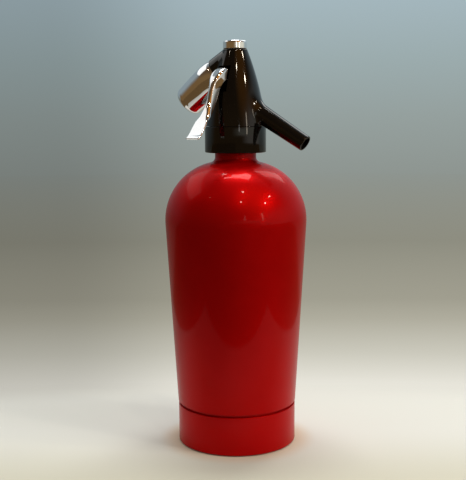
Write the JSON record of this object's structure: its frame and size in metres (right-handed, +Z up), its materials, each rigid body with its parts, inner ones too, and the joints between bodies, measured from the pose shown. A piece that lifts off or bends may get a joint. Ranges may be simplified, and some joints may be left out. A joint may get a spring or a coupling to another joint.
{
  "type": "soda siphon",
  "caption": "Soda siphon: a red lacquered metal bottle with a black screw-on head, a slanted spout, a chrome lever and a chrome holder for a gas bulb.",
  "frame": {"origin": "on the bottle's axis, in the plane that it stands on", "axes": "+Z up along the axis, +X towards the spout"},
  "size_m": [0.1121, 0.105, 0.3],
  "materials": {
    "red_lacquer": "clear red lacquer over polished metal, glossy",
    "black_gloss": "moulded, polished",
    "black_matte": "moulded, fine texture",
    "chrome": "polished chrome plate",
    "brass": "machined",
    "steel": "bright drawn",
    "pale_plastic": "smooth, undyed",
    "rubber": "dark food-grade rubber"
  },
  "bodies": {
    "bottle": {"bottle_shell": "red_lacquer", "base_cup": "red_lacquer", "foot_ring": "rubber", "measuring_tube": "pale_plastic"},
    "head": {"neck_gasket": "rubber", "head_cover": "black_gloss", "top_cap": "chrome", "cap_gasket": "rubber", "cover_seat_ring": "black_matte", "valve_body": "brass", "valve_seat": "brass", "gland_seal": "rubber", "gland_nut": "brass", "riser_tube": "pale_plastic", "riser_seal": "rubber", "riser_union": "brass", "check_sleeve": "rubber", "spout_tube": "steel", "spout_nozzle": "black_matte", "inlet_fitting": "brass", "thread_ring": "brass", "piercing_pin": "steel", "bulb_seal": "rubber", "gas_tube": "steel", "lever_pin": "steel"},
    "collar": {"screw_collar": "black_gloss", "collar_nut": "black_matte"},
    "stem": {"valve_stem": "steel", "valve_washer": "rubber", "lift_collar": "brass", "valve_spring": "steel"},
    "lever": {"lever": "chrome"},
    "charger": {"gas_bulb": "steel"},
    "holder": {"charger_holder": "chrome", "holder_liner": "pale_plastic", "bulb_pad": "rubber"}
  },
  "joints": [
    {"name": "head_lift", "type": "slide", "parent": "bottle", "child": "head", "axis": [0, 0, 1], "range_m": [0, 0.225]},
    {"name": "collar_turn", "type": "hinge", "parent": "head", "child": "collar", "pos_m": [0, 0, 0.228], "axis": [0, 0, 1], "continuous": true},
    {"name": "lever_press", "type": "hinge", "parent": "head", "child": "lever", "pos_m": [-0.00164, -0.01037, 0.275], "axis": [0.9877, -0.1564, 0], "range_deg": [0, 9.17], "stiffness_Nm_per_rad": 1.2, "springref_deg": -5.73},
    {"name": "stem_lift", "type": "slide", "parent": "head", "child": "stem", "axis": [0, 0, 1], "range_m": [0, 0.002], "deforming": ["valve_spring"]},
    {"name": "bulb_out", "type": "slide", "parent": "head", "child": "charger", "axis": [-0.7815, 0, -0.6239], "range_m": [0, 0.045]},
    {"name": "holder_turn", "type": "hinge", "parent": "charger", "child": "holder", "pos_m": [0, 0, 0.287], "axis": [-0.7815, 0, -0.6239], "continuous": true}
  ],
  "couplings": [
    {"joint": "stem_lift", "follows": "lever_press", "m_per_rad": 0.012}
  ]
}
